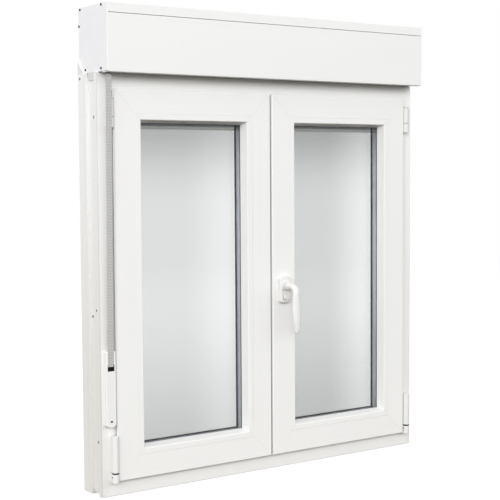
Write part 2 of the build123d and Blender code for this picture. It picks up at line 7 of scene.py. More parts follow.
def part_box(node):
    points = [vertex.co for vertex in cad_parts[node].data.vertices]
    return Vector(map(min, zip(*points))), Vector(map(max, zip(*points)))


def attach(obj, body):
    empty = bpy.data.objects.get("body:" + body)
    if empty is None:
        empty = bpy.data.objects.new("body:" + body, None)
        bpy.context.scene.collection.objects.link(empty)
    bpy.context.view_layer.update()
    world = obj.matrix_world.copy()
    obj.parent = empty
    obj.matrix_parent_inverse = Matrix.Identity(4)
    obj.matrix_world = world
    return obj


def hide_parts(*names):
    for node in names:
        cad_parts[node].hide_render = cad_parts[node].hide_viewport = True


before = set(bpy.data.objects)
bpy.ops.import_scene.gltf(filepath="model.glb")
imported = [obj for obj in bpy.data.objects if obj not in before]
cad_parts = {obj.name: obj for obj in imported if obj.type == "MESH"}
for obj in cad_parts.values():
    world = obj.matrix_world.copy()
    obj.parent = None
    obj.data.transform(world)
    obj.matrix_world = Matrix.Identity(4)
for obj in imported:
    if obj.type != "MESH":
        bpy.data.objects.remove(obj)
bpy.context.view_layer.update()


# Outer frame: four bars of white PVC extrusion, cut at 45 degrees and welded at the corners.
# The die leaves faint lines along every bar, and the weld is pared down to a hair line.
# The outer sides carry the fall of the photo's light: whiter under the box, warmer at the foot.
class Wire:
    """A socket of a material's nodes, to be used in plain arithmetic."""

    def __init__(self, tree, socket=None):
        self.tree = tree
        self.socket = socket

    def node(self, kind, settings, sockets, out=0):
        made = self.tree.nodes.new("ShaderNode" + kind)
        for name, value in settings.items():
            setattr(made, name, value)
        for name, value in sockets.items():
            if isinstance(value, Wire):
                self.tree.links.new(value.socket, made.inputs[name])
            else:
                made.inputs[name].default_value = value
        return Wire(self.tree, made.outputs[out])

    def math(self, operation, *values):
        return self.node("Math", {"operation": operation}, dict(enumerate(values)))

    def __add__(self, other):
        return self.math("ADD", self, other)

    def __radd__(self, other):
        return self.math("ADD", other, self)

    def __sub__(self, other):
        return self.math("SUBTRACT", self, other)

    def __rsub__(self, other):
        return self.math("SUBTRACT", other, self)

    def __mul__(self, other):
        return self.math("MULTIPLY", self, other)

    def __rmul__(self, other):
        return self.math("MULTIPLY", other, self)

    def __gt__(self, other):
        return self.math("GREATER_THAN", self, other)

    def __abs__(self):
        return self.math("ABSOLUTE", self)

    def along(self, axis):
        """One of the three parts of a vector."""
        return self.node("SeparateXYZ", {}, {"Vector": self}, axis)

    def rise(self, low, high):
        """0 up to low, 1 from high on, and a soft slope between them."""
        sockets = {"Value": self, "From Min": low, "From Max": high}
        return self.node("MapRange", {"interpolation_type": "SMOOTHSTEP"}, sockets)

    def between(self, first, second):
        """The colour this value picks between two colours."""
        return self.node("Mix", {"data_type": "RGBA"}, {0: self, 6: first, 7: second}, 2)

    def times(self, colour):
        """This colour times another."""
        settings = {"data_type": "RGBA", "blend_type": "MULTIPLY"}
        return self.node("Mix", settings, {0: 1.0, 6: self, 7: colour}, 2)

    def noise(self, scale, detail=2.0):
        """Soft noise on a stretched copy of this vector."""
        spread = self.node("Mapping", {}, {"Vector": self, "Scale": scale})
        return self.node("TexNoise", {}, {"Vector": spread, "Scale": 1.0, "Detail": detail})

    def bump(self, depth, strength):
        """This height, in parts of depth, as a surface normal."""
        return self.node("Bump", {}, {"Height": self, "Distance": depth, "Strength": strength})

    def feed(self, shader, name):
        self.tree.links.new(self.socket, shader.inputs[name])


def new_finish(name):
    """A new material, its shader, and the place on the object as a vector."""
    material = bpy.data.materials.new(name)
    material.use_nodes = True
    tree = material.node_tree
    place = Wire(tree).node("TexCoord", {}, {}, "Object")
    return material, tree.nodes["Principled BSDF"], place


def dress(material, *names):
    for name in names:
        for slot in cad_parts[name].material_slots:
            slot.material = material


PVC_WHITE = (0.866, 0.868, 0.857, 1)
PVC_SHADE = (0.850, 0.852, 0.841, 1)
WELD_SHADE = (0.70, 0.69, 0.67, 1)
WELD_W = (0.0001, 0.0009)
PAINTED_EDGE_SHADE = (0.60, 0.595, 0.58, 1)
NO_EDGE = (1, 0.001, 0)
SHADED_EDGE_FROM, SHADED_EDGE_TO = 1.1, 0.7
SIDE_FOOT_Z, SIDE_HEAD_Z = 0.1, 1.0
SIDE_FROM_X, SIDE_FULL_X = 0.475, 0.495
SIDE_FOOT_SHADE = (0.955, 0.937, 0.92, 1)
SIDE_HEAD_LIGHT = (1.075, 1.085, 1.09, 1)
LINES_UPRIGHT = (620, 620, 2.5)
LINES_LEVEL = (2.5, 620, 620)


def painted_side_light(place):
    """The photo's light down the outer sides: whiter under the box, warmer toward the foot."""
    return place.along(2).rise(SIDE_FOOT_Z, SIDE_HEAD_Z).between(SIDE_FOOT_SHADE, SIDE_HEAD_LIGHT)


def extruded_pvc(name, lines, middle, half, edge=NO_EDGE):
    """White PVC with die lines along its bar and welds at the corners of a rectangle about middle.

    edge is the outer room-side edge: where it would be sharp, as x - y, its radius, and how much
    painted shade greys its rounding, where a highlight would show.
    """
    material, shader, place = new_finish(name)
    die_lines = place.noise(lines)
    cloud = place.noise((5, 5, 5))
    aside = abs(place.along(0))
    across = half[0] - abs(aside - middle[0])
    up = half[1] - abs(place.along(2) - middle[1])
    weld = 1 - abs(across - up).rise(*WELD_W)
    white = (0.6 * die_lines + 0.4 * cloud).rise(0.35, 0.75).between(PVC_WHITE, PVC_SHADE)
    # Painted shade greys the rounded room-side edge, where a highlight would show.
    corner, radius, painted_shade = edge
    rounding = corner - SHADED_EDGE_FROM * radius, corner - SHADED_EDGE_TO * radius
    shaded_edge_mask = (aside - place.along(1)).rise(*rounding)
    white = (painted_shade * shaded_edge_mask).between(white, PAINTED_EDGE_SHADE)
    # Painted light and shade on the outer sides: whiter under the box, warmer and darker toward the
    # foot.
    tinted = white.times(painted_side_light(place))
    white = aside.rise(SIDE_FROM_X, SIDE_FULL_X).between(white, tinted)
    (0.35 * weld).between(white, WELD_SHADE).feed(shader, "Base Color")
    (0.27 + 0.12 * die_lines).feed(shader, "Roughness")
    (die_lines - 0.8 * weld).bump(depth=0.0004, strength=0.03).feed(shader, "Normal")
    shader.inputs["Specular IOR Level"].default_value = 0.35
    return material


FRAME_MIDDLE = (0.0, 0.5125)
FRAME_HALF = (0.5, 0.5125)
FRAME_EDGE = (0.5065, 0.002, 1.0)
dress(extruded_pvc("frame_pvc_upright", LINES_UPRIGHT, FRAME_MIDDLE, FRAME_HALF, FRAME_EDGE),
      "frame_left_jamb", "frame_right_jamb")
dress(extruded_pvc("frame_pvc_level", LINES_LEVEL, FRAME_MIDDLE, FRAME_HALF),
      "frame_sill", "frame_head")


# Seals: black rubber profiles, extruded and pressed into grooves round the frame, the leaves and
# the glass. They show as thin dark lines, a little dusty.
RUBBER = (0.022, 0.023, 0.027, 1)
RUBBER_DUSTY = (0.06, 0.06, 0.062, 1)

rubber, shader, place = new_finish("black_rubber")
dust = place.noise((160, 160, 160)).rise(0.4, 0.8)
dust.between(RUBBER, RUBBER_DUSTY).feed(shader, "Base Color")
(0.55 + 0.2 * place.noise((400, 400, 400))).feed(shader, "Roughness")
place.noise((1500, 1500, 1500)).bump(depth=0.0002, strength=0.2).feed(shader, "Normal")
dress(rubber, "frame_seal", "leaf_seals", "glazing_seals")


# Drain caps: small moulded covers, clipped over the drain slots on the sill's outer face.
# The strap guide, the guide inlets and the shutter's stops are of the same white plastic.
MOULDED = (0.86, 0.858, 0.845, 1)
MOULDED_SHADE = (0.81, 0.808, 0.795, 1)
PAINTED_RIM_SHADE = (0.82, 0.824, 0.83, 1)
RIM_DEPTH, RIM_FADED = 0.0006, 0.0014
NO_RIM = -1.0


def moulded_plastic(name, colour, shade, roughness, grain, rim_y=NO_RIM):
    """Moulded plastic with a fine spark-eroded grain, and painted shade on a room-facing rim at
    rim_y.
    """
    material, shader, place = new_finish(name)
    speck = place.noise((grain, grain, grain), detail=3.0)
    cloudy = place.noise((14, 14, 14)).rise(0.35, 0.75).between(colour, shade)
    # Painted shade on the rim at rim_y; none where rim_y is NO_RIM.
    behind_rim = place.along(1).rise(rim_y + RIM_DEPTH, rim_y + RIM_FADED)
    behind_rim.between(PAINTED_RIM_SHADE, cloudy).feed(shader, "Base Color")
    (roughness + 0.15 * (speck - 0.5)).feed(shader, "Roughness")
    speck.bump(depth=0.0003, strength=0.12).feed(shader, "Normal")
    return material


dress(moulded_plastic("moulded_white", MOULDED, MOULDED_SHADE, roughness=0.42, grain=1400),
      "drain_caps", "strap_guide", "guide_inlets", "shutter_stops")


# Shutter guides: lacquered channels screwed to the back of the jambs, one at each side.
# The lacquer is a touch warmer than the PVC, with faint draw lines along the length.
GUIDE_WHITE = (0.895, 0.893, 0.872, 1)
GUIDE_SHADE = (0.85, 0.845, 0.82, 1)

guide_lacquer, shader, place = new_finish("guide_lacquer")
draw_lines = place.noise((900, 900, 2))
lacquered = draw_lines.rise(0.35, 0.8).between(GUIDE_WHITE, GUIDE_SHADE)
# Painted light and shade down the guides, as on the jambs' outer sides: whiter high, warmer low.
lacquered.times(painted_side_light(place)).feed(shader, "Base Color")
(0.33 + 0.12 * place.noise((60, 60, 8))).feed(shader, "Roughness")
draw_lines.bump(depth=0.0003, strength=0.06).feed(shader, "Normal")
dress(guide_lacquer, "left_guide_web", "left_guide_flanges",
      "right_guide_web", "right_guide_flanges")


# Shutter slats: the last hollow PVC slats of the rolled curtain, in the mouth at the box's back.
# They are extruded, so the die lines run across the window.
SLAT_WHITE = (0.86, 0.858, 0.845, 1)
SLAT_SHADE = (0.80, 0.798, 0.785, 1)

slat_pvc, shader, place = new_finish("slat_pvc")
slat_lines = place.noise((3, 500, 500))
slat_lines.rise(0.3, 0.8).between(SLAT_WHITE, SLAT_SHADE).feed(shader, "Base Color")
(0.36 + 0.14 * slat_lines).feed(shader, "Roughness")
slat_lines.bump(depth=0.0004, strength=0.08).feed(shader, "Normal")
dress(slat_pvc, "shutter_slats")


# Shutter box: extruded white PVC panels that snap together round the rolled shutter.
# The panels are smooth and satin, with long faint lines across the window.
PANEL_WHITE = (0.836, 0.841, 0.829, 1)
PANEL_SHADE = (0.826, 0.831, 0.819, 1)

panel_pvc, shader, place = new_finish("panel_pvc")
panel_lines = place.noise((1.5, 380, 380))
panel_wave = place.noise((4, 4, 9))
shaded = (0.5 * panel_lines + 0.5 * panel_wave).rise(0.35, 0.75)
shaded.between(PANEL_WHITE, PANEL_SHADE).feed(shader, "Base Color")
(0.30 + 0.1 * panel_lines).feed(shader, "Roughness")
(panel_lines + panel_wave).bump(depth=0.0005, strength=0.025).feed(shader, "Normal")
dress(panel_pvc, "box_front_panel", "box_front_rail", "box_top_panel",
      "box_back_panel", "box_underside")


# End plates: grained moulded covers, a little cooler in colour, that close the box at both sides.
# Dark cross-head screws hold each plate to the panels. More of them hold the guide below it,
# and sit in the jamb's outer side: three in the anchor holes and one further back.
PLATE_WHITE = (0.935, 0.937, 0.958, 1)
PLATE_SHADE = (0.915, 0.917, 0.938, 1)
SCREW_DARK = (0.055, 0.052, 0.05, 1)
SCREW_WORN = (0.14, 0.133, 0.125, 1)
SCREW_R = 0.0035
SCREW_RISE = 0.0018
SCREW_DOME = 0.0008
SCREW_CROSS = (0.0043, 0.0009, 0.0018)
SIDE_SCREW_SIZE, ANCHOR_SIZE = 0.85, 1.1
PLATE_SCREWS = ((0.0785, 1.1795), (-0.0290, 1.1808), (0.0843, 1.140),
                (0.0545, 1.0335), (-0.0245, 1.033))
GUIDE_SCREW = (0.0785, 1.0135)
GUIDE_SCREW_SINK = 0.0022
JAMB_SIDE = 0.494
ANCHOR_SINK = 0.0015
ANCHOR_Y = 0.0195
ANCHOR_Z = (0.132, 0.454, 0.919)
JAMB_SCREW = (0.0385, 0.4385)
FACING = 0.9

# The end plates' rim that faces the room carries painted shade.
plate_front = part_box("box_left_end")[0].y
plate_plastic = moulded_plastic("end_plate_plastic", PLATE_WHITE, PLATE_SHADE,
                                roughness=0.46, grain=900, rim_y=plate_front)
dress(plate_plastic, "box_left_end", "box_right_end")

screw_metal, shader, place = new_finish("dark_screw_metal")
worn = place.noise((700, 700, 700)).rise(0.4, 0.8)
worn.between(SCREW_DARK, SCREW_WORN).feed(shader, "Base Color")
(0.35 + 0.25 * place.noise((1100, 1100, 1100))).feed(shader, "Roughness")
shader.inputs["Metallic"].default_value = 0.7


def only(*pieces):
    """Selects these pieces alone, the last one active."""
    bpy.ops.object.select_all(action="DESELECT")
    for piece in pieces:
        piece.select_set(True)
        bpy.context.view_layer.objects.active = piece


def pick(test, kind="vertices"):
    """In edit mode on the active piece, selects the points, or the faces, that pass the test."""
    bpy.ops.mesh.select_all(action="DESELECT")
    bpy.ops.object.mode_set(mode="OBJECT")
    mesh = bpy.context.active_object.data
    for item in getattr(mesh, kind):
        item.select = test(item)
    bpy.ops.object.mode_set(mode="EDIT")


def edit(mode):
    """Edit mode on the active piece, selecting points, edges or faces."""
    bpy.ops.object.mode_set(mode="EDIT")
    bpy.ops.mesh.select_mode(type=mode)


def settle(name, material):
    """Leaves edit mode, names the active piece, applies its place and gives it a finish."""
    if bpy.context.mode != "OBJECT":
        bpy.ops.object.mode_set(mode="OBJECT")
    piece = bpy.context.active_object
    piece.name = name
    bpy.ops.object.transform_apply(location=True, rotation=True, scale=True)
    piece.data.materials.clear()
    piece.data.materials.append(material)
    return piece


def cross_head_screw():
    """A domed screw head at the origin that faces the room, with a cross cut into it."""
    only()
    bpy.ops.mesh.primitive_cylinder_add(vertices=24, radius=SCREW_R, depth=SCREW_RISE)
    head = bpy.context.active_object
    edit("FACE")
    pick(lambda face: face.normal.z > FACING, "polygons")
    bpy.ops.mesh.bevel(offset=SCREW_DOME, segments=3, profile=0.5)
    bpy.ops.object.mode_set(mode="OBJECT")
    for turn in (0, math.pi / 2):
        only()
        bpy.ops.mesh.primitive_cube_add(size=1, location=(0, 0, SCREW_RISE / 2),
                                        rotation=(0, 0, turn))
        blade = bpy.context.active_object
        blade.scale = SCREW_CROSS
        only(head)
        cut = head.modifiers.new("cross", "BOOLEAN")
        cut.object = blade
        bpy.ops.object.modifier_apply(modifier=cut.name)
        bpy.data.objects.remove(blade)
    head.rotation_euler = (math.pi / 2, 0, 0)
    settle("screw_pattern", screw_metal)
    bpy.ops.object.shade_smooth_by_angle(angle=math.radians(35))
    return head


def copies(pattern, name, places):
    """One piece of copies of a pattern, each sized, turned about the upright and set in place."""
    made = []
    for place, turn, size in places:
        piece = pattern.copy()
        piece.data = pattern.data.copy()
        turned = Matrix.Rotation(turn, 4, "Z") @ Matrix.Scale(size, 4)
        piece.data.transform(Matrix.Translation(place) @ turned)
        bpy.context.scene.collection.objects.link(piece)
        made.append(piece)
    only(*made)
    bpy.ops.object.join()
    piece = bpy.context.active_object
    piece.name = name
    return piece


def fit(piece, body):
    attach(piece, body)


screw = cross_head_screw()
PLATE_FACE = -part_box("box_left_end")[0].x
GUIDE_FACE = -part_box("left_guide_web")[0].x
for side, label in ((-1, "left"), (1, "right")):
    face = side * (PLATE_FACE + SCREW_RISE / 2)
    sunk = side * (GUIDE_FACE + SCREW_RISE / 2 - GUIDE_SCREW_SINK)
    anchor = side * (JAMB_SIDE - ANCHOR_SINK)
    turn = side * math.pi / 2
    spots = [((face, y, z), turn, SIDE_SCREW_SIZE) for y, z in PLATE_SCREWS]
    spots.append(((sunk, *GUIDE_SCREW), turn, SIDE_SCREW_SIZE))
    spots += [((anchor, ANCHOR_Y, z), turn, ANCHOR_SIZE) for z in ANCHOR_Z]
    spots.append(((side * JAMB_SIDE, *JAMB_SCREW), turn, SIDE_SCREW_SIZE))
    fit(copies(screw, label + "_side_screws", spots), "window")


# Packers: two moulded blocks pressed into the recess of the jambs' outer sides, right under the
# shutter box. They are of pale grey plastic, with all edges eased.
PACKER_GREY = (0.79, 0.795, 0.79, 1)
PACKER_SHADE = (0.75, 0.755, 0.75, 1)
PACKER_X = (0.4942, 0.4965)
PACKER_Y = (0.0070, 0.0410)
PACKER_Z = (1.0065, 1.0248)
PACKER_EDGE = 0.0008

packers = []
for side in (-1, 1):
    only()
    spans = (PACKER_X, PACKER_Y, PACKER_Z)
    middle = [sum(span) / 2 for span in spans]
    bpy.ops.mesh.primitive_cube_add(size=1, location=(side * middle[0], middle[1], middle[2]))
    block = bpy.context.active_object
    block.scale = [high - low for low, high in spans]
    bpy.ops.object.transform_apply(location=True, rotation=True, scale=True)
    edit("EDGE")
    bpy.ops.mesh.select_all(action="SELECT")
    bpy.ops.mesh.bevel(offset=PACKER_EDGE, segments=2, profile=0.5)
    bpy.ops.object.mode_set(mode="OBJECT")
    packers.append(block)
only(*packers)
bpy.ops.object.join()
packer_plastic = moulded_plastic("packer_plastic", PACKER_GREY, PACKER_SHADE,
                                 roughness=0.5, grain=900)
packer = settle("recess_packers", packer_plastic)
fit(packer, "window")


# Shutter strap: a flat woven tape, cross ribbed, that comes down from the box's strap guide to the
# recoiler. It is always taut, and fixed at both ends.
STRAP_RIB = 0.0073
STRAP_RIB_RISE = 0.0003
STRAP_GREY = (0.535, 0.532, 0.525, 1)
STRAP_DARK = (0.44, 0.435, 0.425, 1)
STRAP_THREAD = 0.0012
STRAP_W = 0.014
STRAP_HEM = 0.0004
STRAP_T = 0.0013
STRAP_FOOT = Vector((-0.4773, -0.0165, 0.320))
STRAP_TOP = Vector((-0.4809, -0.033, 1.031))
STRAP_RUN = STRAP_TOP - STRAP_FOOT
ROWS_IN_RIB = 4
STRAP_ROWS = ROWS_IN_RIB * round(STRAP_RUN.length / STRAP_RIB)
STRAP_COLUMNS = 8

woven, shader, place = new_finish("woven_strap")
down = place.along(2)
middle = STRAP_FOOT.x + (down - STRAP_FOOT.z) * (STRAP_RUN.x / STRAP_RUN.z)
across = place.along(0) - middle
warp = across.math("SINE", across * (math.tau / STRAP_THREAD))
weft = down.math("SINE", down * (math.tau / STRAP_THREAD))
rib = down.math("SINE", (down + 0.12 * across) * (math.tau / STRAP_RIB))
edge = abs(across).rise(0.38 * STRAP_W, 0.5 * STRAP_W)
fuzz = place.noise((900, 900, 500), detail=3.0)
tone = 0.5 + 0.32 * rib + 0.18 * warp * weft + 0.3 * (fuzz - 0.5) - 0.25 * edge
tone.rise(0.0, 1.0).between(STRAP_DARK, STRAP_GREY).feed(shader, "Base Color")
(0.75 + 0.15 * fuzz).feed(shader, "Roughness")
(0.6 * warp * weft + 0.4 * rib).bump(depth=0.0004, strength=0.5).feed(shader, "Normal")
shader.inputs["Sheen Weight"].default_value = 0.25

only()
bpy.ops.mesh.primitive_grid_add(x_subdivisions=STRAP_COLUMNS, y_subdivisions=STRAP_ROWS, size=1)
strap = bpy.context.active_object
strap.scale = (STRAP_W - STRAP_HEM, STRAP_RUN.length, 1)
bpy.ops.object.transform_apply(location=False, rotation=False, scale=True)
edit("VERT")
row_height = STRAP_RUN.length / STRAP_ROWS
pick(lambda point: round((point.co.y + STRAP_RUN.length / 2) / row_height) % ROWS_IN_RIB == 1)
bpy.ops.transform.translate(value=(0, 0, STRAP_RIB_RISE))
bpy.ops.object.mode_set(mode="OBJECT")
body = strap.modifiers.new("thickness", "SOLIDIFY")
body.thickness = STRAP_T
body.offset = 0
bpy.ops.object.modifier_apply(modifier=body.name)
strap.rotation_euler = STRAP_RUN.to_track_quat("Y", "Z").to_euler()
strap.location = (STRAP_FOOT + STRAP_TOP) / 2
settle("ribbed_strap", woven)
bpy.ops.object.shade_smooth_by_angle(angle=math.radians(50))
fit(strap, "window")
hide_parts("shutter_strap")


# Strap recoiler: a slim moulded housing screwed to the left jamb.
# The strap drops down a throat in the front and goes in at a mouth, where a thin black box
# is painted shade.
RECOILER_WHITE = (0.845, 0.845, 0.838, 1)
RECOILER_SHADE = (0.82, 0.82, 0.813, 1)
RECOILER_SCREW_Z = 0.187
RECOILER_SCREW_LIFT, RECOILER_SCREW_SIZE = 0.0004, 0.8
MOUTH_SHADE_BLACK = (0.002, 0.002, 0.002, 1)
MOUTH_SHADE_GREY = (0.004, 0.004, 0.004, 1)
MOUTH_W, MOUTH_H, MOUTH_DEPTH = 0.0180, 0.0153, 0.0074
MOUTH_Z = 0.31725
MOUTH_INSET, MOUTH_WALL = 0.0004, 0.0004

recoiler_plastic = moulded_plastic("recoiler_plastic", RECOILER_WHITE, RECOILER_SHADE,
                                   roughness=0.36, grain=500)
dress(recoiler_plastic, "strap_recoiler")
recoiler_low, recoiler_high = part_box("strap_recoiler")
recoiler_x = (recoiler_low.x + recoiler_high.x) / 2
spot = (recoiler_x, recoiler_low.y - RECOILER_SCREW_LIFT, RECOILER_SCREW_Z)
recoiler_screw = copies(screw, "recoiler_screw", [(spot, 0, RECOILER_SCREW_SIZE)])
fit(recoiler_screw, "window")

# Painted shade: a thin black box inside the mouth stands for the dark inside the recoiler.
only()
mouth_mid = (recoiler_x, recoiler_low.y + MOUTH_INSET + MOUTH_DEPTH / 2, MOUTH_Z)
bpy.ops.mesh.primitive_cube_add(size=1, location=mouth_mid)
painted_shade_box = bpy.context.active_object
painted_shade_box.scale = (MOUTH_W, MOUTH_DEPTH, MOUTH_H)
bpy.ops.object.transform_apply(location=True, rotation=True, scale=True)
edit("FACE")
pick(lambda face: face.normal.y < -FACING or face.normal.z > FACING, "polygons")
bpy.ops.mesh.delete(type="FACE")
bpy.ops.object.mode_set(mode="OBJECT")
wall = painted_shade_box.modifiers.new("wall", "SOLIDIFY")
wall.thickness = MOUTH_WALL
bpy.ops.object.modifier_apply(modifier=wall.name)
black_plastic_and_shade = moulded_plastic("black_plastic_and_shade", MOUTH_SHADE_BLACK, MOUTH_SHADE_GREY, roughness=0.8, grain=900)
settle("mouth_painted_shade_box", black_plastic_and_shade)
fit(painted_shade_box, "window")


# Leaves: four bars of PVC each, welded at the corners like the frame, with snapped-in beads that
# hold the glass. The beads are cut at 45 degrees and only pushed in, so their corners show.
LEAF_MIDDLE = (0.23225, 0.5125)
LEAF_HALF = (0.22975, 0.4745)
# The leaves' rounded outer edge takes half the painted edge shade.
LEAF_EDGE = (0.4835, 0.003, 0.5)
BEAD_HALF = (0.17175, 0.4165)
BEAD_GRAIN = (300, 300, 300)

leaf_upright = extruded_pvc("leaf_pvc_upright", LINES_UPRIGHT, LEAF_MIDDLE, LEAF_HALF, LEAF_EDGE)
leaf_level = extruded_pvc("leaf_pvc_level", LINES_LEVEL, LEAF_MIDDLE, LEAF_HALF)
bead_pvc = extruded_pvc("bead_pvc", BEAD_GRAIN, LEAF_MIDDLE, BEAD_HALF)
for leaf in ("left_leaf_", "right_leaf_"):
    dress(leaf_upright, leaf + "hinge_stile", leaf + "meeting_stile")
    dress(leaf_level, leaf + "top_rail", leaf + "bottom_rail")
    dress(bead_pvc, leaf + "beads")
dress(leaf_upright, "astragal")


# Glass: two clear float panes in each leaf, sealed together along a spacer bar.
# Float glass has a green cast, and painted shade greys it, most of all at top and foot, with
# painted light toward the right of each pane. Grey sealant shows at the outer pane's rim, and the
# spacer is painted on the glass at the top as a shaded grey strip and a dark line.
GLASS_CLEAR = (0.928, 0.939, 0.936, 1)
GLASS_PAINTED_SHADE = (0.60, 0.614, 0.61, 1)
EDGE_STRIP = (0.49, 0.50, 0.485, 1)
STRIP_DROP = (0.0146, 0.0138)
EDGE_LINE = (0.27, 0.275, 0.28, 1)
LINE_DROP = (0.0064, 0.0056)
PANE_TOP = 0.907
TOP_GREY_FROM, TOP_GREY_FULL = PANE_TOP - 0.26, PANE_TOP + 0.03
PANE_FOOT = 0.118
FOOT_GREY_FULL, FOOT_GREY_TO = PANE_FOOT - 0.05, PANE_FOOT + 0.45
PANE_W = 0.2995
PANE_INNER_X = 0.0825
SIGHT_HALF = (0.14975, 0.3945)
OUTER_PANE_Y = 0.02
SEALANT_GREY = (0.64, 0.655, 0.73, 1)
SEALANT_INSET = 0.0024
SEALANT_BLUR = 0.0003

pane_glass, shader, place = new_finish("pane_glass")
right_pane = place.along(0) > 0
from_left = place.along(0) + PANE_INNER_X + PANE_W
in_pane = from_left - (2 * PANE_INNER_X + PANE_W) * right_pane
# Painted light and shade: lighter toward each pane's right, greyer at top and foot.
painted_light_side = in_pane.rise(0.4 * PANE_W, 0.9 * PANE_W)
near_top = place.along(2).rise(TOP_GREY_FROM, TOP_GREY_FULL)
near_foot = 1 - place.along(2).rise(FOOT_GREY_FULL, FOOT_GREY_TO)
painted_shade = (0.20 + 0.13 * right_pane) * (1 - painted_light_side)
painted_shade = painted_shade + 0.70 * near_top * near_top + 0.42 * near_foot
painted_shade = painted_shade + 0.06 * place.noise((4, 4, 2))
# Painted shade at the top: a grey strip and a dark line stand for the shaded spacer.
strip = place.along(2).rise(PANE_TOP - STRIP_DROP[0], PANE_TOP - STRIP_DROP[1])
line = place.along(2).rise(PANE_TOP - LINE_DROP[0], PANE_TOP - LINE_DROP[1])
tinted = strip.between(painted_shade.between(GLASS_CLEAR, GLASS_PAINTED_SHADE), EDGE_STRIP)
line.between(tinted, EDGE_LINE).feed(shader, "Base Color")
shader.inputs["Transmission Weight"].default_value = 1
shader.inputs["Roughness"].default_value = 0.0
shader.inputs["IOR"].default_value = 1.45
beside = abs(abs(place.along(0)) - LEAF_MIDDLE[0]) - SIGHT_HALF[0]
above = abs(place.along(2) - LEAF_MIDDLE[1]) - SIGHT_HALF[1]
past_sight = beside.math("MAXIMUM", beside, above)
outside = past_sight.rise(SEALANT_INSET - SEALANT_BLUR, SEALANT_INSET + SEALANT_BLUR)
sealed = outside * (place.along(1) > OUTER_PANE_Y)
sealant = place.node("BsdfDiffuse", {}, {"Color": SEALANT_GREY})
clear = Wire(place.tree, shader.outputs["BSDF"])
edged = place.node("MixShader", {}, {0: sealed, 1: clear, 2: sealant})
edged.feed(place.tree.nodes["Material Output"], "Surface")
dress(pane_glass, "left_leaf_panes", "right_leaf_panes")


# Spacer bars: roll-formed aluminium between the two panes, with a row of small holes to the drying
# agent inside. The mill finish is dull and streaked along the bar.
SPACER_BRIGHT = (0.92, 0.95, 1.0, 1)
SPACER_DULL = (0.84, 0.87, 0.95, 1)
SPACER_HOLE = (0.05, 0.05, 0.05, 1)
SPACER_PITCH = 0.006
SPACER_Y = 0.0165
HOLE_HALF = (0.0006, 0.0012)

spacer_metal, shader, place = new_finish("spacer_aluminium")
ripple = place.math("COSINE", (place.along(0) + place.along(2)) * (math.tau / SPACER_PITCH))
middle = 1 - abs(place.along(1) - SPACER_Y).rise(*HOLE_HALF)
hole = middle * ripple.rise(0.7, 0.85)
streaks = place.noise((60, 900, 60))
metal = streaks.rise(0.3, 0.7).between(SPACER_BRIGHT, SPACER_DULL)
hole.between(metal, SPACER_HOLE).feed(shader, "Base Color")
(0.38 + 0.15 * streaks).feed(shader, "Roughness")
shader.inputs["Metallic"].default_value = 0.1
dress(spacer_metal, "spacer_bars")


# Hinges: cast corner hinges under white moulded covers, two at the foot and two at the head.
# Black bushes show in the lower gaps and grey washers in the upper ones, under a white pin cap,
# and a small screw sets each lower bracket. The bushes' black and the washers' grey are partly
# painted shade for these gaps.
HINGE_WHITE = (0.78, 0.78, 0.77, 1)
HINGE_SHADE = (0.755, 0.755, 0.745, 1)
WASHER_GREY = (0.30, 0.30, 0.295, 1)
WASHER_WORN = (0.40, 0.40, 0.39, 1)
HINGE_X, HINGE_R = 0.4711, 0.0088
LOWER_Y, UPPER_Y = -0.0227, -0.0192
BUSH_R, BUSH_H, BUSH_EDGE = 0.0085, 0.0033, 0.0003
BUSH_Z = 0.06025
WASHER_R, WASHER_H, WASHER_EDGE = 0.0084, 0.0010, 0.0002
WASHER_Z = (0.9194, 0.9626)
PIN_R, PIN_H, PIN_EDGE = 0.0062, 0.0040, 0.0008
BRACKET_SCREW_Z, BRACKET_SCREW_SIZE = 0.0515, 0.55

hinge_plastic = moulded_plastic("hinge_cover_plastic", HINGE_WHITE, HINGE_SHADE,
                                roughness=0.48, grain=700)
dress(hinge_plastic, "lower_hinge_brackets", "lower_hinge_covers",
      "upper_hinge_arms", "upper_hinge_knuckles")


def disc(name, radius, height, edge, material):
    """A round disc at the origin with its rims eased."""
    only()
    bpy.ops.mesh.primitive_cylinder_add(vertices=40, radius=radius, depth=height)
    piece = bpy.context.active_object
    edit("FACE")
    pick(lambda face: abs(face.normal.z) > FACING, "polygons")
    bpy.ops.mesh.bevel(offset=edge, segments=2, profile=0.5)
    settle(name, material)
    bpy.ops.object.shade_smooth_by_angle(angle=math.radians(40))
    return piece


sides = (-HINGE_X, HINGE_X)
# The bushes' black and the washers' grey also serve as painted shade in the hinge gaps.
bush = disc("bush_pattern", BUSH_R, BUSH_H, BUSH_EDGE, black_plastic_and_shade)
spots = [((x, LOWER_Y, BUSH_Z), 0, 1) for x in sides]
fit(copies(bush, "hinge_bushes", spots), "window")
washer_plastic_and_shade = moulded_plastic("washer_grey", WASHER_GREY, WASHER_WORN, roughness=0.5, grain=900)
washer = disc("washer_pattern", WASHER_R, WASHER_H, WASHER_EDGE, washer_plastic_and_shade)
spots = [((x, UPPER_Y, z), 0, 1) for x in sides for z in WASHER_Z]
fit(copies(washer, "hinge_washers", spots), "window")
pin = disc("pin_pattern", PIN_R, PIN_H, PIN_EDGE, hinge_plastic)
pin_z = WASHER_Z[1] + (WASHER_H + PIN_H) / 2
spots = [((x, UPPER_Y, pin_z), 0, 1) for x in sides]
fit(copies(pin, "hinge_pin_caps", spots), "window")
turn = -math.pi / 2
spots = [((x - HINGE_R, LOWER_Y, BRACKET_SCREW_Z), turn, BRACKET_SCREW_SIZE) for x in sides]
fit(copies(screw, "bracket_screws", spots), "window")


